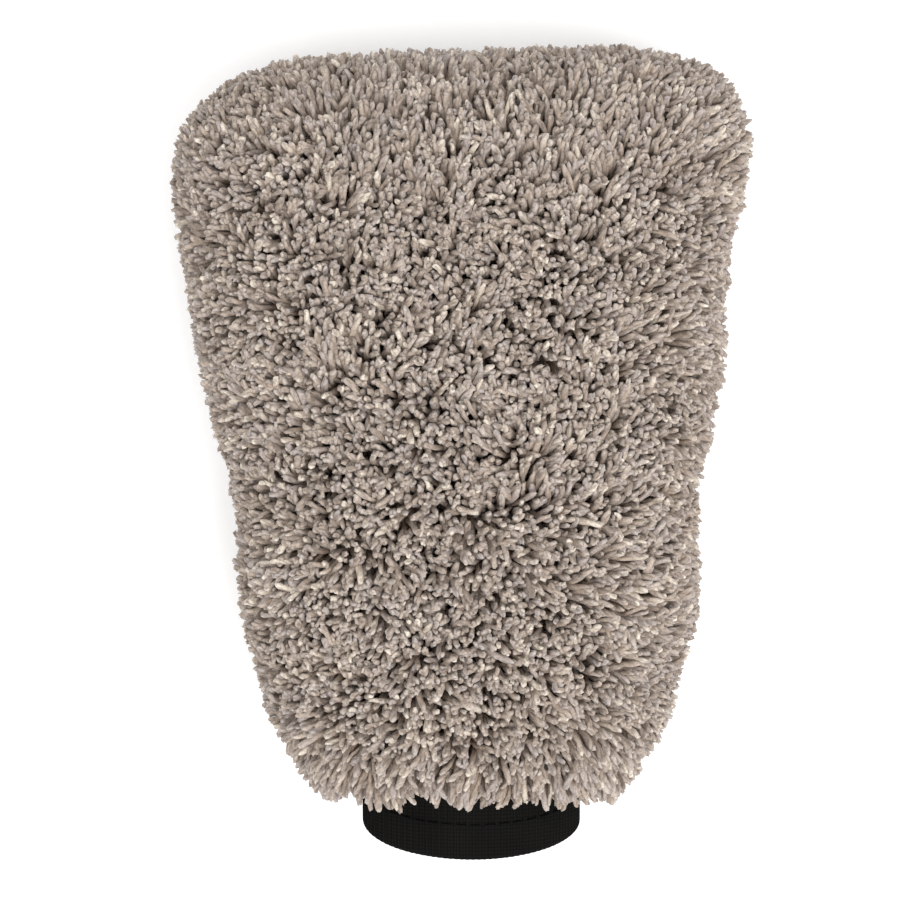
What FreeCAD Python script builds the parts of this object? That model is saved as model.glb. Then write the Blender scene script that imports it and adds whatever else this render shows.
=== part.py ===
import FreeCAD, Part

# Plush wash mitt, lying on its palm side. Millimetres, +Z up, +Y from the cuff to the fingertips.
# The origin is on the surface it lies on, under the middle of its length and width.
#
# From outside to inside, each side of the mitt is a layer of twisted-yarn pile, the knitted backing that
# the yarn is tufted into, a foam pad and a smooth liner round the hand pocket. The two sides meet in one
# seam that runs round the fingertips. The cuff is a knitted tube folded double over an elastic band, and
# its raw end is set ten millimetres into the wrist, against a binding.

import math
import os

# --- driving dimensions -------------------------------------------------------------------------------
SEAM_Z = 36.0            # height of the plane where the two sides are sewn together
PILE_REACH = 18.0        # how far the yarn stands off the backing at the edges
PILE_RISE = 18.0         # the same on the upper face
PILE_DROP = 20.0         # the same on the lower face, before the mitt's weight flattens it at z = 0
BACKING = 1.2            # knitted backing
FOAM = 5.0               # foam pad
LINER = 1.0              # pocket liner
SEAM_HALF = 3.0          # half the height of the strip round the mitt where the seam allowances lie
TAPE = 1.0               # thickness of a seam allowance
ANCHOR_X = 28.0          # from the middle to each tape that ties the liner to the fingertips
ANCHOR_WIDTH = 8.0

WRIST_Y = -108.0         # where the backing ends
LAYERS_Y = -96.0         # where foam, liner and the cuff's raw end meet
PILE_END_Y = -121.0      # where the yarn that hangs over the cuff ends

CUFF_HALF_WIDTH = 39.0   # outside, on the widest line
CUFF_HALF_HEIGHT = 20.0
KNIT = 1.0               # one layer of the cuff
CUFF_GAP = 1.4           # between the cuff's two layers
CUFF_WALL = 2 * KNIT + CUFF_GAP
CUFF_END_Y = -141.5      # the hem at the middle of the cuff
RIM_BOW = 9.0            # how much nearer the fingertips the hem is at the cuff's two sides
RIM_HALF = CUFF_HALF_WIDTH + 1.0               # half the width over which the hem bows
ELASTIC_WIDTH = 10.0
ELASTIC = 1.0

THREAD_R = 0.35          # radius of the sewing thread
THREAD_CLEAR = 0.5       # from the thread's axis to the cloth it lies on
STITCH = 3.0             # length of one stitch that shows
STITCH_PITCH = 5.0       # from the start of one to the start of the next, about

# The outer face of the backing: (y, half width, rise above the seam, drop below it).
STATIONS = [
    (WRIST_Y, 42.8, 25.6, 25.6),
    (-100.0, 48.5, 25.4, 24.4),
    (-85.0, 56.0, 25.0, 22.0),
    (-62.0, 61.5, 25.0, 20.0),
    (-37.0, 64.5, 25.0, 20.0),
    (-16.0, 63.5, 25.0, 20.0),
    (5.0, 67.5, 25.0, 20.0),
    (38.0, 74.0, 25.0, 20.0),
    (73.0, 79.0, 24.0, 19.5),
    (95.0, 81.8, 21.0, 17.5),
    (109.5, 80.5, 16.5, 14.5),
    (118.0, 73.0, 11.5, 10.5),
    (122.5, 60.0, 6.0, 6.0),
]
PILE_WRIST = (PILE_END_Y, 46.0, 28.0, 28.0)    # the last section of the yarn that hangs over the cuff
PILE_TIP = (141.5, 50.0, 5.0, 5.0)             # the foremost section of the yarn
THINNEST = 2.6           # a layer's sections stop where one would rise or drop less than this
UPPER_ROUNDNESS = 2.5    # exponent of a section above the seam: 2 is an ellipse, more is squarer
LOWER_ROUNDNESS = 3.0    # the same below the seam, where the mitt is flatter
AROUND = 28              # points on each section

FAR = 400.0              # past everything, for cutting boxes


# --- shapes -------------------------------------------------------------------------------------------
def oval(y, half_width, rise, drop):
    """A closed section in the plane at y, with its widest line at the seam's height."""
    points = []
    for i in range(AROUND):
        angle = 2 * math.pi * i / AROUND
        across, up = math.cos(angle), math.sin(angle)
        power = 2 / (UPPER_ROUNDNESS if up > 0 else LOWER_ROUNDNESS)
        x = half_width * math.copysign(abs(across) ** power, across)
        z = (rise if up > 0 else drop) * math.copysign(abs(up) ** power, up)
        points.append(FreeCAD.Vector(x, y, SEAM_Z + z))
    curve = Part.BSplineCurve()
    curve.interpolate(Points=points, PeriodicFlag=True)
    return Part.Wire([curve.toShape()])


def outline_normals():
    """The outward normal of the mitt's outline at each station, as (x, y)."""
    normals = []
    last = len(STATIONS) - 1
    for i in range(len(STATIONS)):
        before, after = STATIONS[max(i - 1, 0)], STATIONS[min(i + 1, last)]
        along_x, along_y = after[1] - before[1], after[0] - before[0]
        length = math.hypot(along_x, along_y)
        normals.append((along_y / length, -along_x / length))
    return normals


def lofted(stations):
    return Part.makeLoft([oval(*s) for s in stations], True, False)


def inset_stations(inset):
    """The stations moved in by `inset`, without those that would be thinner than a layer can be."""
    moved = []
    for (y, half, rise, drop), (normal_x, normal_y) in zip(STATIONS, outline_normals()):
        if min(rise, drop) - inset >= THINNEST:
            moved.append((y - inset * normal_y, half - inset * normal_x, rise - inset, drop - inset))
    return moved


def layer(inset):
    """The solid inside the backing's outer face, moved in by `inset`, from the wrist to the fingertips."""
    stations = inset_stations(inset)
    past_the_wrist = WRIST_Y - 1.0 if inset else WRIST_Y
    return lofted([(past_the_wrist,) + stations[0][1:]] + stations[1:])


def pile_envelope():
    """The solid that the tips of the yarn reach. It thins with the outline's turn round the fingertips."""
    stations = [PILE_WRIST]
    for (y, half, rise, drop), (normal_x, normal_y) in zip(STATIONS, outline_normals()):
        stations.append((
            y + PILE_REACH * normal_y,
            half + PILE_REACH * normal_x,
            rise + PILE_RISE * normal_x,
            drop + PILE_DROP * normal_x,
        ))
    return lofted(stations + [PILE_TIP])


def box(x0, y0, z0, x1, y1, z1):
    return Part.makeBox(x1 - x0, y1 - y0, z1 - z0, FreeCAD.Vector(x0, y0, z0))


def above(z):
    return box(-FAR, -FAR, z, FAR, FAR, z + FAR)


def below(z):
    return box(-FAR, -FAR, z - FAR, FAR, FAR, z)


def between_z(low, high):
    return box(-FAR, -FAR, low, FAR, FAR, high)


def beyond_y(y):
    return box(-FAR, y, -FAR, FAR, y + FAR, FAR)


def ellipse_face(half_width, half_height, y):
    """An ellipse about the cuff's axis, in the plane at y."""
    centre = FreeCAD.Vector(0, y, SEAM_Z)
    ellipse = Part.Ellipse(
        centre + FreeCAD.Vector(half_width, 0, 0), centre + FreeCAD.Vector(0, 0, half_height), centre
    )
    return Part.Face(Part.Wire([ellipse.toShape()]))


def cuff_core(inset, y0, y1):
    """The cuff's outer ellipse moved in by `inset`, from y0 to y1."""
    face = ellipse_face(CUFF_HALF_WIDTH - inset, CUFF_HALF_HEIGHT - inset, y0)
    return face.extrude(FreeCAD.Vector(0, y1 - y0, 0))


def cuff_tube(outer, inner, y0, y1):
    return cuff_core(outer, y0, y1).cut(cuff_core(inner, y0 - 1, y1 + 1))


def rim_y(x, shift):
    """Where the bowed hem is, `shift` further towards the fingertips. In plan it is half an ellipse."""
    return CUFF_END_Y + RIM_BOW + shift - RIM_BOW * math.sqrt(1 - (x / RIM_HALF) ** 2)


def inside_rim(shift):
    """Everything on the fingertips' side of the bowed hem moved by `shift`."""
    side_y = CUFF_END_Y + RIM_BOW + shift
    half = RIM_HALF
    centre = FreeCAD.Vector(0, side_y, -FAR)
    ellipse = Part.Ellipse(
        centre + FreeCAD.Vector(half, 0, 0), centre + FreeCAD.Vector(0, RIM_BOW, 0), centre
    )
    tip = Part.Face(Part.Wire([ellipse.toShape()])).extrude(FreeCAD.Vector(0, 0, 2 * FAR))
    return box(-half, side_y, -FAR, half, side_y + FAR, FAR).fuse(tip)


def ring(clearance, y_at):
    """A fine closed line round the cuff, `clearance` outside its outer face, at the height y_at(x)."""
    steps = 720
    line = []
    for i in range(steps + 1):
        angle = 2 * math.pi * i / steps
        x = (CUFF_HALF_WIDTH + clearance) * math.cos(angle)
        z = SEAM_Z + (CUFF_HALF_HEIGHT + clearance) * math.sin(angle)
        line.append(FreeCAD.Vector(x, y_at(x), z))
    return line


def evenly(line, count):
    """`count` evenly spaced places along a fine line, each a point and the direction there."""
    lengths = [(b - a).Length for a, b in zip(line, line[1:])]
    total = sum(lengths)
    places, done, i = [], 0.0, 0
    for k in range(count):
        target = total * (k + 0.5) / count
        while done + lengths[i] < target:
            done += lengths[i]
            i += 1
        direction = (line[i + 1] - line[i]).normalize()
        places.append((line[i] + direction * (target - done), direction))
    return places


def stitches(line):
    """A run of stitches along a fine line, each a short straight thread."""
    length = sum((b - a).Length for a, b in zip(line, line[1:]))
    made = []
    for point, direction in evenly(line, round(length / STITCH_PITCH)):
        start = point - direction * (STITCH / 2)
        made.append(Part.makeCylinder(THREAD_R, STITCH, start, direction))
    return Part.makeCompound(made)


def seam_line(inset):
    """The line round the fingertips at the seam's height, `inset` inside the backing's outer face."""
    stations = [s for s in inset_stations(inset) if s[0] > LAYERS_Y]
    right = [FreeCAD.Vector(half, y, SEAM_Z) for y, half, _, _ in stations]
    left = [FreeCAD.Vector(-p.x, p.y, p.z) for p in reversed(right)]
    curve = Part.BSplineCurve()
    curve.interpolate(Points=right + left)
    return curve.discretize(Number=600)


# --- sub-parts ----------------------------------------------------------------------------------------
def piles(backing_outer):
    """The two layers of yarn. They hang over the cuff, and the lower one is pressed flat where it lies."""
    room_for_cuff = cuff_core(-0.3, PILE_END_Y - 5, WRIST_Y)
    whole = pile_envelope().cut(backing_outer).cut(room_for_cuff)
    return {
        "upper_pile": whole.common(above(SEAM_Z)),
        "lower_pile": whole.common(between_z(0.0, SEAM_Z)),
    }


def two_sides(shape, name, gap=0.0):
    """The upper and the lower side of a layer, each `gap` clear of the seam's plane."""
    return {
        "upper_" + name: shape.common(above(SEAM_Z + gap)),
        "lower_" + name: shape.common(below(SEAM_Z - gap)),
    }


def seam_pieces(inside_backing, liner_outer):
    """The shell's and the liner's seam allowances, and the stitches that hold each seam."""
    free = SEAM_HALF - 0.2
    strip = between_z(SEAM_Z - free, SEAM_Z + free).common(beyond_y(LAYERS_Y))
    shell_tape = inside_backing.cut(layer(BACKING + TAPE)).common(strip)
    liner_inset = BACKING + FOAM
    liner_tape = layer(liner_inset - TAPE).cut(liner_outer).common(strip)
    shell_line = seam_line(BACKING + TAPE + THREAD_CLEAR)
    liner_line = seam_line(liner_inset - TAPE - THREAD_CLEAR)
    return {
        "shell_seam_tape": shell_tape,
        "liner_seam_tape": liner_tape,
        "shell_seam_stitches": stitches(shell_line),
        "liner_seam_stitches": stitches(liner_line),
    }


def wrist_binding():
    """The ring between the backing and the cuff's raw end, as deep as the cuff is set in."""
    inner = cuff_core(0.0, WRIST_Y - 1, LAYERS_Y + 1)
    ring = layer(BACKING).cut(inner)
    return ring.common(box(-FAR, WRIST_Y, -FAR, FAR, LAYERS_Y, FAR))


def cuff_pieces():
    """The folded knit, its side seam, the elastic in its hem and the stitches that hold it there."""
    past_hem = CUFF_END_Y - 1
    knit = cuff_tube(0.0, CUFF_WALL, past_hem, LAYERS_Y).common(inside_rim(0.0))
    gap = cuff_tube(KNIT, KNIT + CUFF_GAP, past_hem, LAYERS_Y + 1).common(inside_rim(KNIT))
    middle = KNIT + CUFF_GAP / 2
    band = cuff_tube(middle - ELASTIC / 2, middle + ELASTIC / 2, past_hem, LAYERS_Y)
    elastic_start = 1.5 * KNIT
    elastic_end = elastic_start + ELASTIC_WIDTH
    seam_start = CUFF_END_Y + RIM_BOW + elastic_end + 2.0
    allowance = box(0, seam_start, SEAM_Z - SEAM_HALF, FAR, LAYERS_Y - 1.0, SEAM_Z + SEAM_HALF)
    hem = ring(THREAD_CLEAR, lambda x: rim_y(x, elastic_end + 1.5))
    wrist = ring(-CUFF_WALL - THREAD_CLEAR, lambda x: (WRIST_Y + LAYERS_Y) / 2)
    return {
        "cuff_knit": knit.cut(gap),
        "cuff_elastic": band.common(inside_rim(elastic_start)).cut(inside_rim(elastic_end)),
        "cuff_side_seam": band.common(allowance),
        "cuff_hem_stitches": stitches(hem),
        "wrist_seam_stitches": stitches(wrist),
    }


def liner_anchor_tapes():
    """Two tapes that tie the liner's closed end to the seam at the fingertips, so that it can't pull out."""
    start_y = inset_stations(BACKING + FOAM - TAPE)[-1][0]
    end_y = inset_stations(BACKING + TAPE)[-1][0]
    low_z = SEAM_Z + THREAD_CLEAR
    made = []
    for side in (-1, 1):
        x = side * ANCHOR_X
        half = ANCHOR_WIDTH / 2
        made.append(box(x - half, start_y, low_z, x + half, end_y, low_z + TAPE))
    return Part.makeCompound(made)


def build():
    backing_outer = layer(0.0)
    backing_inner = layer(BACKING)
    liner_outer = layer(BACKING + FOAM)
    pocket = layer(BACKING + FOAM + LINER)
    inside = beyond_y(LAYERS_Y)

    nodes = piles(backing_outer)
    nodes.update(two_sides(backing_outer.cut(backing_inner), "backing"))
    foam = backing_inner.cut(liner_outer).common(inside)
    nodes.update(two_sides(foam, "foam", SEAM_HALF))
    liner = liner_outer.cut(pocket).common(inside)
    nodes.update(two_sides(liner, "liner"))
    nodes.update(seam_pieces(backing_inner, liner_outer))
    nodes["liner_anchor_tapes"] = liner_anchor_tapes()
    nodes["wrist_binding"] = wrist_binding()
    nodes.update(cuff_pieces())
    return nodes


def main():
    os.makedirs("parts", exist_ok=True)
    for name, shape in build().items():
        solids = shape.Solids
        whole = solids[0] if len(solids) == 1 else Part.makeCompound(solids)
        whole.exportStep(f"parts/{name}.step")
        print(f"{name}: {len(solids)} solids, {whole.Volume / 1000:.2f} cm3, valid {whole.isValid()}")


main()
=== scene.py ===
import math

import bmesh
import bpy
import numpy as np
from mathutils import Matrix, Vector, kdtree, noise
from mathutils.bvhtree import BVHTree


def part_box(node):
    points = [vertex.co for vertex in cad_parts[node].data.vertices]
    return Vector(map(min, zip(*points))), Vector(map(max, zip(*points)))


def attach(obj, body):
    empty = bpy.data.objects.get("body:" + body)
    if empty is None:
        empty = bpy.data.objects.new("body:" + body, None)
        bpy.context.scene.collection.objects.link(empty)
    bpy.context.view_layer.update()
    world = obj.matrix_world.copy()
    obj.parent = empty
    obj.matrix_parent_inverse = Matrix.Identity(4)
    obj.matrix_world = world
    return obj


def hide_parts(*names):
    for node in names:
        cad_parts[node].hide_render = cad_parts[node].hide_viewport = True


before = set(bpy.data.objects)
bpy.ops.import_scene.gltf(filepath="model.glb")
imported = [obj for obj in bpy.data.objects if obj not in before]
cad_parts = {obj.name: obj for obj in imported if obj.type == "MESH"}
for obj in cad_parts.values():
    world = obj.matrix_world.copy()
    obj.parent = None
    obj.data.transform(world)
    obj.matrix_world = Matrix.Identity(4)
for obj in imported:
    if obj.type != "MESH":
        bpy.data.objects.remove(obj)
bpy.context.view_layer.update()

MM = 0.001
SEED = 20
rng = np.random.default_rng(SEED)
noise.seed_set(SEED)


# --- what the frame says ------------------------------------------------------------------------------
def corners(*nodes):
    """Lowest and highest corner of these CAD nodes together, as arrays."""
    boxes = [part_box(node) for node in nodes]
    return np.min([b[0] for b in boxes], axis=0), np.max([b[1] for b in boxes], axis=0)


PILE_LOW, PILE_HIGH = corners("upper_pile", "lower_pile")
SHELL_LOW, SHELL_HIGH = corners("upper_backing", "lower_backing")
CUFF_LOW, CUFF_HIGH = corners("cuff_knit")
SEAM_Z = corners("lower_pile")[1][2]
WRIST_Y = SHELL_LOW[1]
TIP_Y = SHELL_HIGH[1]
CUFF_HALF = (CUFF_HIGH[0] - CUFF_LOW[0]) / 2
CUFF_RISE = (CUFF_HIGH[2] - CUFF_LOW[2]) / 2
PILE_LENGTH = PILE_HIGH[0] - SHELL_HIGH[0]


def smooth(low, high, value):
    """0 below low, 1 above high, and a smooth step between them."""
    t = np.clip((value - low) / (high - low), 0, 1)
    return t * t * (3 - 2 * t)


def hump(value, middle, width):
    """1 at the middle, falling away to 0 over a few widths."""
    return np.exp(-(((value - middle) / width) ** 2))


def settle(points):
    """Moves points as the real mitt lies: its middle line isn't straight and its fingertip end is askew."""
    x, y, z = points[..., 0], points[..., 1], points[..., 2]
    bend = 2.2 * MM * (1 - smooth(-110 * MM, -50 * MM, y)) - 2.2 * MM * hump(y, 55 * MM, 50 * MM)
    dents = 3.5 * MM * hump(y, 75 * MM, 28 * MM) + 2.5 * MM * hump(y, -112 * MM, 22 * MM)
    right = smooth(30 * MM, 70 * MM, x) * dents
    left = smooth(30 * MM, 70 * MM, -x) * 2.8 * MM * hump(y, -50 * MM, 18 * MM)
    askew = (0.035 * x - 2.5 * MM) * smooth(40 * MM, 130 * MM, y)
    return np.stack([x + bend - right + left, y + askew, z], axis=-1)


# --- surfaces read from the frame ---------------------------------------------------------------------
def cad_tree(*nodes):
    """A search tree over the faces of these CAD nodes, without those on the plane where two sides meet."""
    points, faces = [], []
    for node in nodes:
        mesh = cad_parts[node].data
        start = len(points)
        points += [v.co.copy() for v in mesh.vertices]
        for face in mesh.polygons:
            on_seam = abs(face.center.z - SEAM_Z) < 0.01 * MM and abs(face.normal.z) > 0.99
            if not on_seam:
                faces.append([start + i for i in face.vertices])
    return BVHTree.FromPolygons(points, faces)


def section(tree, y, columns, inner):
    """The outer or inner face of a CAD shell in the plane at y, as points going round its middle."""
    middle = Vector((0, y, SEAM_Z))
    ring = []
    for j in range(columns):
        angle = 2 * math.pi * j / columns
        out = Vector((SHELL_HIGH[0] * math.cos(angle), 0, (SHELL_HIGH[2] - SEAM_Z) * math.sin(angle)))
        hit = tree.ray_cast(middle, out) if inner else tree.ray_cast(middle + 3 * out, -out)
        ring.append(hit[0] if hit[0] else middle)
    return ring


def shell_grid(low_y, high_y, rows, columns, *nodes, inner=False):
    """A grid of points over one face of a CAD shell, closer together towards the fingertips."""
    tree = cad_tree(*nodes)
    grid = []
    for i in range(rows):
        share = math.sin(i / (rows - 1) * math.pi / 2)
        y = low_y + (high_y - low_y) * share
        grid.append(section(tree, y, columns, inner))
    last = np.array(grid[-1])
    for flat in (0.6, 0.3, 0.02):
        closing = last.copy()
        closing[:, 2] = SEAM_Z + (last[:, 2] - SEAM_Z) * flat
        grid.append([Vector(p) for p in closing])
    return np.array(grid)


def grid_normals(grid):
    """Outward unit normals of a grid that closes round its columns."""
    along = np.gradient(grid, axis=0)
    around = np.roll(grid, -1, axis=1) - np.roll(grid, 1, axis=1)
    return unit(np.cross(along, around))


def unit(vectors):
    """The same directions at length 1."""
    return vectors / np.maximum(np.linalg.norm(vectors, axis=-1, keepdims=True), 1e-12)


def scatter(grid, normals, spacing, rise):
    """Points on the grid, with their normals, that are at least `spacing` apart when raised by `rise`."""
    raised = grid + rise * normals
    edge_a = raised[1:] - raised[:-1]
    edge_b = np.roll(raised, -1, axis=1)[:-1] - raised[:-1]
    area = np.linalg.norm(np.cross(edge_a, edge_b), axis=-1)
    tries = int(5 * area.sum() / spacing ** 2)
    chosen = rng.choice(area.size, tries, p=(area / area.sum()).ravel())
    i, j = np.unravel_index(chosen, area.shape)
    k = (j + 1) % grid.shape[1]
    s, t = rng.random((2, tries, 1))

    def blend(values):
        low = values[i, j] * (1 - t) + values[i, k] * t
        high = values[i + 1, j] * (1 - t) + values[i + 1, k] * t
        return low * (1 - s) + high * s

    kept = thin_out(blend(raised), spacing)
    return blend(grid)[kept], unit(blend(normals))[kept]


def thin_out(points, spacing):
    """Numbers of the points that are left when each one too near an earlier one is dropped."""
    cells = {}
    kept = []
    home = np.floor(points / spacing).astype(int)
    steps = [(a, b, c) for a in (-1, 0, 1) for b in (-1, 0, 1) for c in (-1, 0, 1)]
    for n, (cell, point) in enumerate(zip(map(tuple, home), points)):
        near = [m for s in steps for m in cells.get((cell[0] + s[0], cell[1] + s[1], cell[2] + s[2]), ())]
        if near and (((points[near] - point) ** 2).sum(1) < spacing ** 2).any():
            continue
        cells.setdefault(cell, []).append(n)
        kept.append(n)
    return np.array(kept)


# --- materials ----------------------------------------------------------------------------------------
WAVE_SCALE = 0.314  # a wave texture of this scale repeats once in a metre


def material(name, roughness, sheen=0.0, gloss=0.25):
    """A new node material. Returns it, its tree and its shader."""
    made = bpy.data.materials.new(name)
    made.use_nodes = True
    shader = made.node_tree.nodes["Principled BSDF"]
    shader.inputs["Roughness"].default_value = roughness
    shader.inputs["Sheen Weight"].default_value = sheen
    shader.inputs["Specular IOR Level"].default_value = gloss
    return made, made.node_tree, shader


def node(tree, kind, **settings):
    """A new shader node with these settings."""
    made = tree.nodes.new(kind)
    for key, value in settings.items():
        setattr(made, key, value)
    return made


def ramp(tree, source, stops):
    """A colour ramp over `source`, from (position, linear colour) stops."""
    made = node(tree, "ShaderNodeValToRGB")
    elements = made.color_ramp.elements
    while len(elements) < len(stops):
        elements.new(0.5)
    for element, (position, colour) in zip(elements, stops):
        element.position = position
        element.color = (*colour, 1)
    tree.links.new(source, made.inputs["Fac"])
    return made.outputs["Color"]


def multiplied(tree, first, second):
    """The product of two colours."""
    made = node(tree, "ShaderNodeMix", data_type="RGBA", blend_type="MULTIPLY")
    made.inputs["Factor"].default_value = 1
    tree.links.new(first, made.inputs["A"])
    tree.links.new(second, made.inputs["B"])
    return made.outputs["Result"]


def cloth_material(name, dark, light, across, along, depth, roughness=0.9, sheen=0.3, gloss=0.25):
    """Knitted or woven cloth: threads `across` and `along` apart, dark between them, and worn unevenly."""
    made, tree, shader = material(name, roughness, sheen, gloss)
    place = node(tree, "ShaderNodeTexCoord").outputs["Object"]
    threads = []
    for direction, pitch in (("X", across), ("Y", along)):
        wave = node(tree, "ShaderNodeTexWave", bands_direction=direction)
        wave.inputs["Scale"].default_value = WAVE_SCALE / pitch
        wave.inputs["Distortion"].default_value = 1.5
        wave.inputs["Detail Scale"].default_value = 2
        tree.links.new(place, wave.inputs["Vector"])
        threads.append(wave.outputs["Fac"])
    crossing = node(tree, "ShaderNodeMath", operation="MULTIPLY")
    tree.links.new(threads[0], crossing.inputs[0])
    tree.links.new(threads[1], crossing.inputs[1])
    worn = node(tree, "ShaderNodeTexNoise")
    worn.inputs["Scale"].default_value = 60
    worn.inputs["Detail"].default_value = 4
    tree.links.new(place, worn.inputs["Vector"])
    colour = ramp(tree, crossing.outputs[0], [(0.0, dark), (0.7, light)])
    patchy = ramp(tree, worn.outputs["Fac"], [(0.3, (0.75, 0.75, 0.75)), (0.7, (1, 1, 1))])
    tree.links.new(multiplied(tree, colour, patchy), shader.inputs["Base Color"])
    bump = node(tree, "ShaderNodeBump")
    bump.inputs["Strength"].default_value = 0.6
    bump.inputs["Distance"].default_value = depth
    tree.links.new(crossing.outputs[0], bump.inputs["Height"])
    tree.links.new(bump.outputs["Normal"], shader.inputs["Normal"])
    return made


def foam_material():
    """Open-cell foam: cream, with pores."""
    made, tree, shader = material("foam", 0.95)
    place = node(tree, "ShaderNodeTexCoord").outputs["Object"]
    pores = node(tree, "ShaderNodeTexVoronoi")
    pores.inputs["Scale"].default_value = 900
    tree.links.new(place, pores.inputs["Vector"])
    colour = ramp(tree, pores.outputs["Distance"], [(0.1, (0.36, 0.32, 0.24)), (0.5, (0.72, 0.68, 0.56))])
    tree.links.new(colour, shader.inputs["Base Color"])
    return made


def yarn_material():
    """Twisted microfibre: warm greys, taupe and violet grey by the tuft, with painted light along each tuft:
    lighter towards the root to lift the shade that falls between the tufts, a painted shade below the cut end
    and a painted highlight at the tip.
    """
    made, tree, shader = material("pile_yarn", 0.85, 0.15)
    dye = node(tree, "ShaderNodeAttribute", attribute_name="dye").outputs["Fac"]
    along = node(tree, "ShaderNodeAttribute", attribute_name="along").outputs["Fac"]
    ply = node(tree, "ShaderNodeAttribute", attribute_name="ply").outputs["Fac"]
    colour = ramp(tree, dye, [
        (0.0, (0.245, 0.200, 0.170)),
        (0.22, (0.330, 0.275, 0.235)),
        (0.45, (0.420, 0.355, 0.305)),
        (0.62, (0.370, 0.326, 0.308)),
        (0.8, (0.530, 0.465, 0.400)),
        (1.0, (0.640, 0.580, 0.505)),
    ])
    # Painted light along each tuft: the root end much lighter, standing in for light that reaches down between
    # the tufts; darkest a little below the cut end, a painted shade; lighter again at the tip, a painted
    # highlight.
    depth = ramp(tree, along, [
        (0.0, (1.5, 1.36, 1.22)),
        (0.5, (1.2, 1.12, 1.04)),
        (0.82, (0.92, 0.89, 0.86)),
        (0.97, (1.02, 1.02, 1.02)),
    ])
    # Painted shade in the grooves between the two plies, where the ply attribute is low, together with the
    # random fibre streaks that the same attribute carries.
    groove_shade_and_streaks = ramp(tree, ply, [
        (0.0, (0.58, 0.55, 0.53)),
        (0.6, (1.03, 1.03, 1.03)),
    ])
    speckle = node(tree, "ShaderNodeTexNoise")
    speckle.inputs["Scale"].default_value = 1400
    speckle.inputs["Detail"].default_value = 2
    tree.links.new(node(tree, "ShaderNodeTexCoord").outputs["Object"], speckle.inputs["Vector"])
    fibres = ramp(tree, speckle.outputs["Fac"], [
        (0.35, (0.78, 0.76, 0.74)),
        (0.62, (1.12, 1.12, 1.12)),
    ])
    shaded = multiplied(tree, multiplied(tree, colour, depth), groove_shade_and_streaks)
    tree.links.new(multiplied(tree, shaded, fibres), shader.inputs["Base Color"])
    return made


# --- the pile -----------------------------------------------------------------------------------------
# The rings of one length of yarn: their shares of its length, and their girths, which swell before the cut.
SIDES = 8
ALONG = np.array([0, 0.4, 0.62, 0.77, 0.87, 0.94, 0.982])
GIRTH = np.array([0.9, 0.98, 1.05, 1.12, 1.12, 1.02, 0.74])
YARN_RADIUS = 0.9 * MM
SPACING = 1.32 * MM
BUNCH = 3.8 * MM
CURL = 1.1 * MM
BOW = 0.7 * MM
WAVES = 5.5
TWISTS = 16.0
STRIP = 1500  # tufts in one piece

# Where the pile parts and shows its depth: x, y, half length, direction in degrees, strength.
PARTINGS = [
    (-34, 34, 9, 60, 1.0),
    (-42, 24, 7, 20, 0.7),
    (-41, 86, 8, 80, 0.7),
    (19, -4, 12, 100, 0.9),
    (5, -17, 11, 20, 1.0),
    (44, -17, 9, 30, 0.8),
    (47, -47, 13, -8, 1.2),
    (50, -34, 9, 10, 0.8),
    (60, 36, 8, 60, 0.6),
    (-18, -62, 8, 110, 0.6),
]


def noise_field(points, size, offset):
    """Smooth noise in -1..1, one vector for each point, varying over `size`."""
    shift = Vector((offset, offset * 1.7, -offset))
    return np.array([noise.noise_vector(Vector(p) / size + shift) for p in points])


def lean(roots, normals):
    """How far each tuft leans sideways as it rises, as a vector along the surface."""
    x, y = roots[:, 0] / MM, roots[:, 1] / MM
    up = np.clip(normals[:, 2], 0, 1)
    field = 0.3 * noise_field(roots, 34 * MM, 3.0) + 0.32 * noise_field(roots, 8 * MM, 8.0)
    field += 0.24 * rng.normal(size=roots.shape)
    field[:, 0] += up * (0.12 * (x / 60) ** 3 + 0.5 * smooth(20, 60, x) * (1 - smooth(-60, 10, y)))
    field[:, 1] += 0.3 * smooth(75, 120, y) + 0.2 * up * smooth(-70, 0, y)
    field[:, 1] -= 0.6 * (1 - smooth(-112, -76, y)) + 0.35 * (1 - smooth(-108, -97, y))
    field[:, 2] -= 0.2 * (1 - np.abs(normals[:, 2]))
    for px, py, half, direction, strength in PARTINGS:
        c, s = math.cos(math.radians(direction)), math.sin(math.radians(direction))
        across = -(x - px) * s + (y - py) * c
        length = (x - px) * c + (y - py) * s
        near = np.exp(-((across / 6) ** 2) - (length / half) ** 2)
        push = 0.42 * strength * np.tanh(across / 1.5) * near * up
        field[:, 0] -= push * s
        field[:, 1] += push * c
    return field - normals * (field * normals).sum(1, keepdims=True)


def clumps(roots, tips, spacing, pull):
    """Tips drawn towards the tip of the nearest of a few tufts, so that the yarn stands in small bunches."""
    heads = thin_out(roots, spacing)
    tree = kdtree.KDTree(len(heads))
    for n, head in enumerate(heads):
        tree.insert(roots[head], n)
    tree.balance()
    nearest = heads[[tree.find(root)[1] for root in roots]]
    offset = (tips[nearest] - roots[nearest]) - (tips - roots)
    inward = 0.5 * (roots[nearest] - roots)
    return tips + pull * (offset + inward)


def trimmed(roots, normals, reach):
    """How long each tuft is, from where its direction leaves the pile's outer surface in the frame."""
    surface = cad_tree("upper_pile", "lower_pile")
    lengths = []
    for root, out, way in zip(roots, normals, reach):
        start = Vector(root + MM * out)
        hit = surface.ray_cast(start, Vector(way), 3 * PILE_LENGTH)
        lengths.append(hit[3] + MM if hit[0] else PILE_LENGTH)
    return np.clip(lengths, 0.35 * PILE_LENGTH, 1.35 * PILE_LENGTH)


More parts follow.
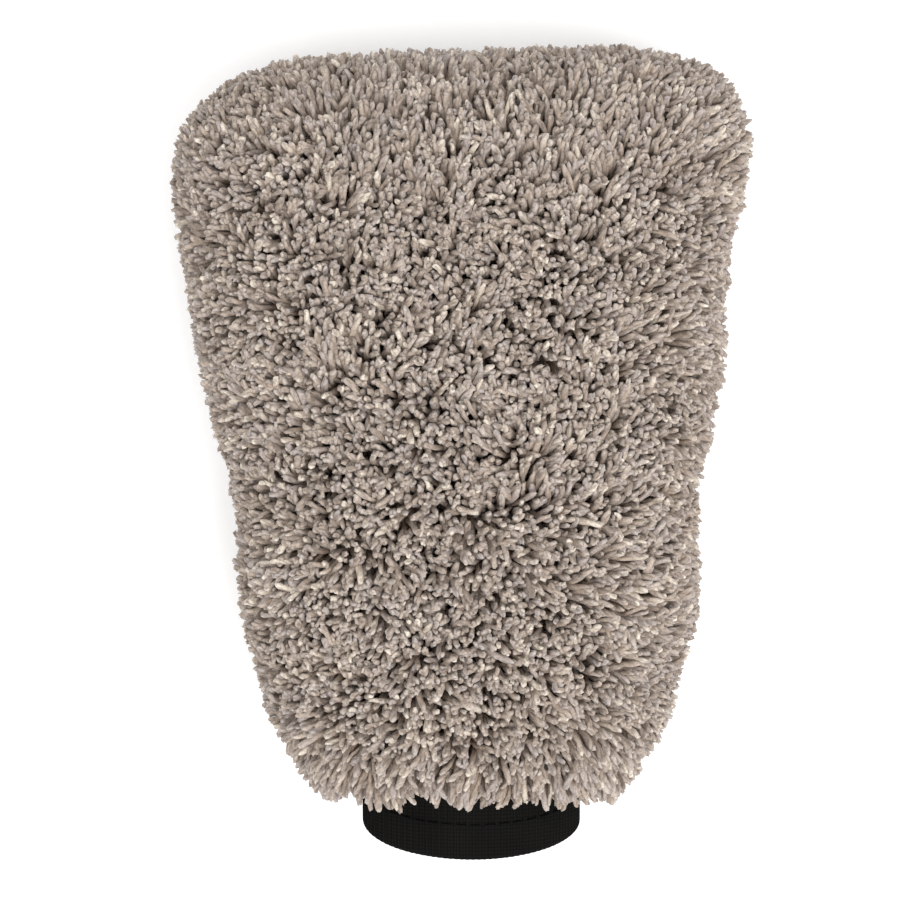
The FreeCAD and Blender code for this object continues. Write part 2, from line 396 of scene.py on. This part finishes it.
def tuft_lines(roots, normals):
    """The middle line of each tuft, from its root on the backing to its tip."""
    count = len(roots)
    rising = unit(normals + 0.12 * rng.normal(size=roots.shape))
    reach = unit(normals + lean(roots, normals))
    tips = clumps(roots, roots + PILE_LENGTH * reach, BUNCH, 0.2)
    reach = unit(tips - roots)
    length = trimmed(roots, normals, reach)
    short = 0.24 * rng.random(count) * (rng.random(count) < 0.6)
    length *= 0.97 - short + 0.03 * rng.normal(size=count) + 0.07 * noise_field(roots, 9 * MM, 1.0)[:, 0]
    fringe = 1 - smooth(-110 * MM, -98 * MM, roots[:, 1])
    length *= 1 + fringe * (0.5 * noise_field(roots, 9 * MM, 11.0)[:, 0] - 0.26)
    wave = unit(np.cross(reach, rng.normal(size=roots.shape)))
    curl = CURL * np.cross(reach, rng.normal(size=roots.shape))
    phase = 2 * np.pi * rng.random(count)
    stops = np.append(ALONG, 1.0)
    line = np.zeros((count, len(stops), 3))
    for n, s in enumerate(stops):
        bow = BOW * s * np.sin(phase + WAVES * s)
        line[:, n] = roots + (length * s)[:, None] * unit(rising * (1 - s) + reach * s)
        line[:, n] += bow[:, None] * wave + s ** 4 * curl
    return keep_clear(line)


def keep_clear(line):
    """Tufts bent along the floor and round the cuff where they would pass through them."""
    layer = YARN_RADIUS * (1.5 + 3.5 * rng.random((len(line), 1)))
    z = line[..., 2]
    sunk = np.maximum(layer - z, 0)
    line[..., 2] = np.maximum(z, layer - 0.25 * np.minimum(sunk, layer))
    line[..., 2] = np.maximum(line[..., 2], 1.55 * YARN_RADIUS)
    slide = unit(line[:, -1] - line[:, 0])[:, None, :] * [1, 1, 0]
    line += 0.5 * sunk[..., None] * slide
    x, y = line[..., 0], line[..., 1]
    z = line[..., 2] - SEAM_Z
    gap = 1.7 * YARN_RADIUS
    size = np.sqrt((x / (CUFF_HALF + gap)) ** 2 + (z / (CUFF_RISE + gap)) ** 2)
    push = np.where((size < 1) & (y < WRIST_Y + MM), 1 / np.maximum(size, 0.3), 1)
    line[..., 0] *= push
    line[..., 2] = SEAM_Z + z * push
    return line


def yarn_mesh(name, lines, dye, twist, thickness=YARN_RADIUS, girth=GIRTH):
    """One mesh of many lengths of yarn along these lines, each two plies twisted, with a frayed cut end."""
    count, rings = lines.shape[0], len(ALONG)
    tangent = unit(np.gradient(lines, axis=1))[:, :rings]
    side = unit(np.cross(tangent, twist[:, None, :]))
    other = np.cross(tangent, side)
    angle = 2 * np.pi * np.arange(SIDES) / SIDES
    turn = TWISTS * ALONG[None, :, None] + 6.3 * dye[:, None, None]
    ply = np.cos(2 * (angle[None, None, :] - turn))
    fibres = np.clip(rng.normal(size=(count, 1, SIDES)), -1.5, 1.5)
    uneven = (1 + 0.16 * ply + 0.09 * fibres) * (1 + 0.18 * twist[:, :1, None])
    radius = thickness * girth[None, :, None] * uneven
    ring = radius[..., None] * (
        np.cos(angle)[None, None, :, None] * side[:, :, None, :]
        + np.sin(angle)[None, None, :, None] * other[:, :, None, :]
    )
    tube = lines[:, :rings, None, :] + ring
    fray = 0.4 * thickness * rng.normal(size=(count, SIDES, 1)) * tangent[:, -1:, :]
    tube[:, -1] += fray
    tube[:, -2] += 0.5 * fray
    points = np.concatenate([tube.reshape(count, rings * SIDES, 3), lines[:, -1:, :]], axis=1)
    each = rings * SIDES + 1
    a = np.arange(rings - 1)[:, None] * SIDES + np.arange(SIDES)[None, :]
    b = np.arange(rings - 1)[:, None] * SIDES + (np.arange(SIDES)[None, :] + 1) % SIDES
    walls = np.stack([a, b, b + SIDES, a + SIDES], axis=-1).reshape(-1, 4)
    last = (rings - 1) * SIDES + np.arange(SIDES)
    following = (rings - 1) * SIDES + (np.arange(SIDES) + 1) % SIDES
    ends = np.stack([last, following, np.full(SIDES, each - 1)], axis=-1)
    start = np.arange(count)[:, None] * each
    corner_rows = np.concatenate([
        (walls.reshape(1, -1) + start).reshape(-1),
        (ends.reshape(1, -1) + start).reshape(-1),
    ])
    sizes = np.concatenate([np.full(count * len(walls), 4), np.full(count * len(ends), 3)])
    mesh = bpy.data.meshes.new(name)
    mesh.vertices.add(count * each)
    mesh.vertices.foreach_set("co", points.reshape(-1).astype(np.float32))
    mesh.loops.add(len(corner_rows))
    mesh.loops.foreach_set("vertex_index", corner_rows.astype(np.int32))
    mesh.polygons.add(len(sizes))
    mesh.polygons.foreach_set("loop_start", (np.cumsum(sizes) - sizes).astype(np.int32))
    mesh.polygons.foreach_set("use_smooth", np.ones(len(sizes), bool))
    mesh.update(calc_edges=True)
    along = np.append(np.repeat(ALONG, SIDES), 1.0)
    # The ply attribute: low in the grooves between the plies, where the yarn's material paints shade, and
    # streaked at random by the fibres.
    ply = 0.5 + 0.4 * ply + 0.2 * fibres
    ply = np.append(ply.reshape(count, -1), np.ones((count, 1)), axis=1).reshape(-1)
    for key, values in (("dye", np.repeat(dye, each)), ("along", np.tile(along, count)), ("ply", ply)):
        attribute = mesh.attributes.new(key, "FLOAT", "POINT")
        attribute.data.foreach_set("value", values.astype(np.float32))
    return mesh


def add(name, mesh, surface, node_name):
    """A piece that stands for a CAD node and rides with the mitt."""
    piece = bpy.data.objects.new(name, mesh)
    bpy.context.scene.collection.objects.link(piece)
    piece.data.materials.append(surface)
    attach(piece, "root")
    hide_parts(node_name)
    return piece


def grid_mesh(name, points, faces):
    """A smooth mesh from a grid of points."""
    mesh = bpy.data.meshes.new(name)
    mesh.from_pydata(points.reshape(-1, 3).tolist(), [], faces)
    mesh.polygons.foreach_set("use_smooth", np.ones(len(mesh.polygons), bool))
    return mesh


def quads(rows, columns, closed):
    """The faces of a grid of points, row by row. A closed grid joins its last column to its first."""
    faces = []
    for i in range(rows - 1):
        for j in range(columns if closed else columns - 1):
            k = (j + 1) % columns
            faces.append((i * columns + j, i * columns + k, (i + 1) * columns + k, (i + 1) * columns + j))
    return faces


def wrist_face(edge, rows):
    """A grid over the shell's end face, from the cuff out to its edge, and which way yarn stands there."""
    around = edge - [0, edge[0, 1], SEAM_Z]
    gap = 1.5 * MM
    size = np.hypot(around[:, 0] / (CUFF_HALF + gap), around[:, 2] / (CUFF_RISE + gap))
    inner = around / size[:, None]
    share = np.linspace(0, 1, rows)[:, None, None]
    grid = inner * (1 - share) + around * share + [0, WRIST_Y - 0.2 * MM, SEAM_Z]
    normals = unit(share ** 2 * unit(around) + [0, -1, 0])
    return grid, normals


def pile(grid, normals):
    """The yarn on both sides of the mitt and round the wrist, in strips across it."""
    roots, out = scatter(grid, normals, SPACING, 0.8 * PILE_LENGTH)
    wrist_roots, wrist_out = scatter(*wrist_face(grid[0] * [1, 0, 1], 6), 0.9 * SPACING, 0)
    roots = np.concatenate([roots, wrist_roots])
    out = np.concatenate([out, wrist_out])
    lines = settle(tuft_lines(roots, out))
    patch = noise_field(roots, 9 * MM, 5.0)[:, 0]
    dye = np.clip(0.5 + 0.24 * patch + 0.21 * rng.normal(size=len(roots)), 0, 1)
    twist = unit(rng.normal(size=roots.shape))
    yarn = yarn_material()
    print("tufts", len(roots))
    for side, above in (("upper", True), ("lower", False)):
        mine = np.flatnonzero((roots[:, 2] > SEAM_Z) == above)
        order = mine[np.argsort(roots[mine, 1])]
        strips = math.ceil(len(order) / STRIP)
        for n, part in enumerate(np.array_split(order, strips)):
            name = f"{side}_pile_{n + 1:02d}"
            mesh = yarn_mesh(name, lines[part], dye[part], twist[part])
            add(name, mesh, yarn, f"{side}_pile")


# --- under the pile -----------------------------------------------------------------------------------
LAYERS_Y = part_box("upper_foam")[0][1]
ROWS, COLUMNS = 90, 120
FOLD_DEPTH = 2.4 * MM
CLOTH_STEPS = 12
CLOTH_GROWTH = 0.02
FOLD_LIMIT = 3.5 * MM  # the furthest that the simulation may move the liner inwards


def side_of(grid, upper, margin=0):
    """The columns of a closed grid that are on one side of the mitt, `margin` columns in from the seam."""
    half = grid.shape[1] // 2
    first = 0 if upper else half
    columns = (np.arange(first + margin, first + half + 1 - margin)) % grid.shape[1]
    return grid[:, columns]


def crumple(grid, normals, size, depth):
    """A grid pushed in and out by smooth noise."""
    flat = grid.reshape(-1, 3)
    height = noise_field(flat, size, 2.0)[:, 0].reshape(grid.shape[:2])
    return grid + depth * height[..., None] * normals


def cloth_side(name, grid, upper, surface, node_name):
    """One side of a shell as a sheet of cloth."""
    side = side_of(grid, upper)
    mesh = grid_mesh(name, settle(side), quads(*side.shape[:2], closed=False))
    piece = add(name, mesh, surface, node_name)
    return piece


def backings():
    """The knitted backing that the yarn stands in."""
    grid = shell_grid(WRIST_Y + 0.3 * MM, TIP_Y - 0.6 * MM, ROWS, COLUMNS, "upper_backing", "lower_backing")
    normals = grid_normals(grid)
    dark, light = (0.30, 0.25, 0.21), (0.60, 0.52, 0.45)
    knit = cloth_material("backing_knit", dark, light, 1.4 * MM, 1.9 * MM, 0.4 * MM)
    even = crumple(grid - 0.3 * MM * normals, normals, 14 * MM, 0.25 * MM)
    for side, upper in (("upper", True), ("lower", False)):
        name = f"{side}_backing"
        cloth_side(f"{name}_cloth", even, upper, knit, name)


def foams():
    """The two foam pads, each a closed shell between the backing and the liner."""
    tip_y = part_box("upper_foam")[1][1]
    liner_tip_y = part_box("upper_liner")[1][1]
    backing, liner = ("upper_backing", "lower_backing"), ("upper_liner", "lower_liner")
    outer = shell_grid(LAYERS_Y, tip_y - 0.5 * MM, ROWS, COLUMNS, *backing, inner=True)
    inner = shell_grid(LAYERS_Y, liner_tip_y - 0.5 * MM, ROWS, COLUMNS, *liner)
    inset = 0.4 * MM
    outer = crumple(outer - inset * grid_normals(outer), grid_normals(outer), 9 * MM, 0.3 * MM)
    inner = crumple(inner + inset * grid_normals(inner), grid_normals(inner), 9 * MM, 0.3 * MM)
    surface = foam_material()
    for side, upper in (("upper", True), ("lower", False)):
        a, b = side_of(outer, upper, 3), side_of(inner, upper, 3)
        rings = np.concatenate([a, b[:, ::-1]], axis=1)
        rows, columns = rings.shape[:2]
        faces = quads(rows, columns, closed=True)
        for start in (0, (rows - 1) * columns):
            for j in range(a.shape[1] - 1):
                other = columns - 1 - j
                faces.append((start + j, start + j + 1, start + other - 1, start + other))
        name = f"{side}_foam"
        piece = add(f"{name}_pad", grid_mesh(name, settle(rings), faces), surface, name)


def gathered(grid, normals, depth):
    """A grid with soft folds along it, which stand inwards only."""
    stretched = (grid * [1, 0.2, 1]).reshape(-1, 3)
    height = noise_field(stretched, 7 * MM, 17.0)[:, 0].reshape(grid.shape[:2])
    ridge = (1 - np.minimum(np.abs(3 * height), 1)) ** 2
    return grid - depth * ridge[..., None] * normals


def liners():
    """The smooth liner round the hand, cut a little larger than the pocket so that it lies in soft folds."""
    tip_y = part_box("upper_liner")[1][1]
    sides = ("upper_liner", "lower_liner")
    grid = shell_grid(LAYERS_Y, tip_y - 1.6 * MM, ROWS, 2 * COLUMNS, *sides, inner=True)
    grid = gathered(grid, grid_normals(grid), FOLD_DEPTH)
    dark, light = (0.22, 0.21, 0.20), (0.42, 0.40, 0.38)
    surface = cloth_material("liner_cloth", dark, light, 0.9 * MM, 0.9 * MM, 0.1 * MM, 0.6)
    for side, upper in (("upper", True), ("lower", False)):
        name = f"{side}_liner"
        piece = cloth_side(f"{name}_cloth", grid, upper, surface, name)
        relax(piece)


def weld(mesh):
    """Joins points that coincide at the seam, because the cloth solver does nothing while any do."""
    shape = bmesh.new()
    shape.from_mesh(mesh)
    bmesh.ops.remove_doubles(shape, verts=shape.verts, dist=0.05 * MM)
    shape.to_mesh(mesh)
    shape.free()


def open_rim(mesh):
    """The points on a sheet's open edges."""
    uses = {}
    for face in mesh.polygons:
        for edge in face.edge_keys:
            uses[edge] = uses.get(edge, 0) + 1
    return sorted({point for edge, count in uses.items() if count == 1 for point in edge})


def points_of(mesh):
    """The points of a mesh, as rows of an array."""
    flat = np.empty(len(mesh.vertices) * 3, np.float32)
    mesh.vertices.foreach_get("co", flat)
    return flat.reshape(-1, 3)


def relax(piece):
    """Grows a side of the liner by cloth simulation, held along its edges, and keeps its inward moves."""
    mesh = piece.data
    weld(mesh)
    before = points_of(mesh)
    piece.vertex_groups.new(name="held").add(open_rim(mesh), 1, "REPLACE")
    cloth = piece.modifiers.new("cloth", "CLOTH")
    cloth.settings.vertex_group_mass = "held"
    cloth.settings.shrink_min = -CLOTH_GROWTH
    cloth.settings.quality = 6
    cloth.settings.effector_weights.gravity = 0
    scene = bpy.context.scene
    for step in range(1, CLOTH_STEPS + 1):
        scene.frame_set(step)
    after = points_of(piece.evaluated_get(bpy.context.evaluated_depsgraph_get()).data)
    inward = unit((np.array([0, 0, SEAM_Z]) - before) * [0.15, 0, 1])
    depth = np.maximum(((after - before) * inward).sum(1), 0)
    depth = FOLD_LIMIT * np.tanh(depth / FOLD_LIMIT)
    mesh.vertices.foreach_set("co", (before + depth[:, None] * inward).reshape(-1))
    piece.modifiers.remove(cloth)
    scene.frame_set(1)
    print(piece.name, "settled by up to", round(float(depth.max()) / MM, 2), "mm, on average",
          round(float(depth.mean()) / MM, 2), "mm")


# --- the cuff -----------------------------------------------------------------------------------------
CUFF_Y = CUFF_LOW[1]
CUFF_START_Y = CUFF_HIGH[1]
KNIT = 1.0 * MM
CUFF_WALL = 3.4 * MM
RIM_BOW = 9.0 * MM
RIBS = 92
RIB_HEIGHT = 0.22 * MM


def cuff_point(angle, inset, y, flute):
    """Points of the cuff's tube, `inset` in from its outside, with `flute` of rib height."""
    across = (CUFF_HALF - inset + flute) * np.cos(angle)
    up = (CUFF_RISE - inset + flute) * np.sin(angle)
    bow = RIM_BOW * (1 - np.sqrt(np.clip(1 - (across / (CUFF_HALF + MM)) ** 2, 0, 1)))
    near_rim = np.clip((CUFF_START_Y - y) / (CUFF_START_Y - CUFF_Y), 0, 1)
    return np.stack([across, y + bow * near_rim, SEAM_Z + up], axis=-1)


def cuff_profile():
    """One turn through the folded cuff, as (inset, y, rib height): outside, fold, inside, and the gap."""
    half = CUFF_WALL / 2
    outside = [(0, y, 1) for y in np.arange(CUFF_START_Y, CUFF_Y + half, -0.8 * MM)]
    turn = [math.pi * k / 10 for k in range(11)]
    fold = [(half - half * math.cos(t), CUFF_Y + half - half * math.sin(t), 0.75) for t in turn]
    inside = [(CUFF_WALL, y, -1) for _, y, _ in reversed(outside)]
    back = [(CUFF_WALL - KNIT, y, 0) for y in np.linspace(CUFF_START_Y, CUFF_Y + half, 8)]
    gap = half - KNIT
    inner_fold = [(half + gap * math.cos(t), CUFF_Y + half - gap * math.sin(t), 0) for t in turn[1:-1:3]]
    front = [(KNIT, y, 0) for y in np.linspace(CUFF_Y + half, CUFF_START_Y, 8)]
    return np.array(outside + fold + inside + back + inner_fold + front)


def cuff():
    """The ribbed knit tube, folded double at the mouth."""
    profile = cuff_profile()
    columns = RIBS * 6
    angle = 2 * np.pi * np.arange(columns) / columns
    arc = np.cumsum(np.hypot(CUFF_HALF * np.sin(angle), CUFF_RISE * np.cos(angle)))
    rib = np.cos(2 * np.pi * RIBS * arc / arc[-1])
    rib = RIB_HEIGHT * np.sign(rib) * np.abs(rib) ** 0.6
    circle = np.stack([np.cos(angle), np.sin(angle), 0 * angle], axis=1)
    slack = 0.5 * MM * noise_field(circle, 0.6, 4.0)[:, 0]
    inset, y, share = profile[:, :1], profile[:, 1:2], profile[:, 2:]
    points = cuff_point(angle[None, :], inset, y, share * rib[None, :] + slack[None, :])
    rows = len(profile)
    faces = [tuple(v % (rows * columns) for v in face) for face in quads(rows + 1, columns, closed=True)]
    dark, light = (0.006, 0.006, 0.0055), (0.011, 0.0105, 0.01)
    surface = cloth_material("cuff_knit", dark, light, 1.1 * MM, 1.3 * MM, 0.1 * MM, 1.0, 0, 0.03)
    add("cuff_rib_knit", grid_mesh("cuff_rib_knit", settle(points), faces), surface, "cuff_knit")


# --- thread and tape ----------------------------------------------------------------------------------
THREAD_RADIUS = 0.34 * MM


def islands(node_name):
    """The points of each patch of joined faces in a CAD node. A stitch gives three: its side and its ends."""
    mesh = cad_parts[node_name].data
    parent = list(range(len(mesh.vertices)))

    def root(v):
        while parent[v] != v:
            parent[v] = parent[parent[v]]
            v = parent[v]
        return v

    for edge in mesh.edges:
        parent[root(edge.vertices[0])] = root(edge.vertices[1])
    groups = {}
    for v in mesh.vertices:
        groups.setdefault(root(v.index), []).append(v.co[:])
    return [np.array(group) for group in groups.values()]


def stitch_line(solid, rises_up):
    """The middle line of a thread, from a patch's points. It rises upwards, or away from the cuff's middle."""
    centre = solid.mean(axis=0)
    along = np.linalg.svd(solid - centre)[2][0]
    half = np.abs((solid - centre) @ along).max()
    out = np.array([0, 0, 1.0]) if rises_up else (centre - [0, centre[1], SEAM_Z]) * [0.3, 0, 1]
    stops = np.append(ALONG, 1.0)
    arch = np.sin(np.pi * stops) * 0.3 * MM - 0.15 * MM
    return centre + np.outer((2 * stops - 1) * half, along) + np.outer(arch, unit(out))


def stitches():
    """Each stitch of the frame as a twisted thread that rises from the cloth, with a stub at both ends."""
    dark, light = (0.006, 0.006, 0.006), (0.011, 0.011, 0.011)
    thread = cloth_material("thread", dark, light, 0.3 * MM, 0.3 * MM, 0.05 * MM, 1, 0, 0.03)
    for name in ("shell_seam_stitches", "liner_seam_stitches", "wrist_seam_stitches", "cuff_hem_stitches"):
        in_flat_seam = name in ("shell_seam_stitches", "liner_seam_stitches")
        lines = settle(np.array([stitch_line(solid, in_flat_seam) for solid in islands(name)]))
        dye = rng.random(len(lines))
        twist = unit(rng.normal(size=(len(lines), 3)))
        mesh = yarn_mesh(name, lines, dye, twist, THREAD_RADIUS, np.full(len(ALONG), 1.0))
        add(f"{name}_thread", mesh, thread, name)


def hidden_bands():
    """The tapes, the binding and the elastic between the layers: the frame's shapes, in woven cloth."""
    dark, light = (0.008, 0.008, 0.009), (0.035, 0.035, 0.037)
    tape = cloth_material("tape", dark, light, 0.6 * MM, 0.9 * MM, 0.1 * MM)
    dark, light = (0.25, 0.24, 0.22), (0.6, 0.58, 0.55)
    elastic = cloth_material("elastic", dark, light, 0.8 * MM, 1.2 * MM, 0.15 * MM, 0.7)
    for name, surface, slot in (
        ("shell_seam_tape", tape, "tape"),
        ("liner_seam_tape", tape, "tape"),
        ("liner_anchor_tapes", tape, "tape"),
        ("wrist_binding", tape, "tape"),
        ("cuff_side_seam", tape, "cuff"),
        ("cuff_elastic", elastic, "elastic"),
    ):
        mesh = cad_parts[name].data.copy()
        mesh.materials.clear()
        mesh.vertices.foreach_set("co", settle(points_of(mesh)).astype(np.float32).reshape(-1))
        add(f"{name}_band", mesh, surface, name)


# --- stage --------------------------------------------------------------------------------------------
SENSOR = 36  # millimetres, as Blender takes it, and the lens too
LENS = 85
VIEW_WIDTH = 315 * MM


def stage():
    """A pale floor that glows slightly, a white sky, a broad light from the lower right and a weak one."""
    scene = bpy.context.scene
    scene.view_settings.view_transform = "Standard"
    bpy.ops.mesh.primitive_plane_add(size=8)
    floor = bpy.context.object
    floor.name = "floor"
    surface, _, shader = material("floor", 0.9)
    shader.inputs["Base Color"].default_value = (0.92, 0.92, 0.92, 1)
    shader.inputs["Emission Color"].default_value = (1, 1, 1, 1)
    shader.inputs["Emission Strength"].default_value = 0.15
    floor.data.materials.append(surface)

    world = bpy.data.worlds.new("sky")
    scene.world = world
    world.use_nodes = True
    world.node_tree.nodes["Background"].inputs["Color"].default_value = (1, 1, 1, 1)
    world.node_tree.nodes["Background"].inputs["Strength"].default_value = 1.0

    def area(name, place, size, watts):
        light = bpy.data.lights.new(name, "AREA")
        light.size = size
        light.energy = watts
        lamp = bpy.data.objects.new(name, light)
        lamp.location = place
        lamp.rotation_euler = (Vector((0, 0, 0.03)) - Vector(place)).to_track_quat("-Z", "Y").to_euler()
        scene.collection.objects.link(lamp)

    area("key", (0.6, -0.42, 1.35), 1.0, 15)
    area("fill", (-0.6, -0.1, 1.2), 0.9, 3)


def camera():
    """Looks down on the mitt, fingertips up, from a little towards the fingertips."""
    data = bpy.data.cameras.new("camera")
    data.lens = LENS
    data.sensor_width = SENSOR
    made = bpy.data.objects.new("camera", data)
    distance = VIEW_WIDTH / SENSOR * LENS
    tilt = math.radians(8)
    target = Vector((-5.6 * MM, 1.0 * MM, SEAM_Z))
    back = Vector((0, math.sin(tilt), math.cos(tilt)))
    made.location = target + distance * back
    made.rotation_euler = (-tilt, 0, 0)
    bpy.context.scene.collection.objects.link(made)
    bpy.context.scene.camera = made


backing_face = shell_grid(WRIST_Y + 0.4 * MM, TIP_Y - 0.2 * MM, 120, 160, "upper_backing", "lower_backing")
pile(backing_face, grid_normals(backing_face))
backings()
foams()
liners()
cuff()
stitches()
hidden_bands()
stage()
camera()
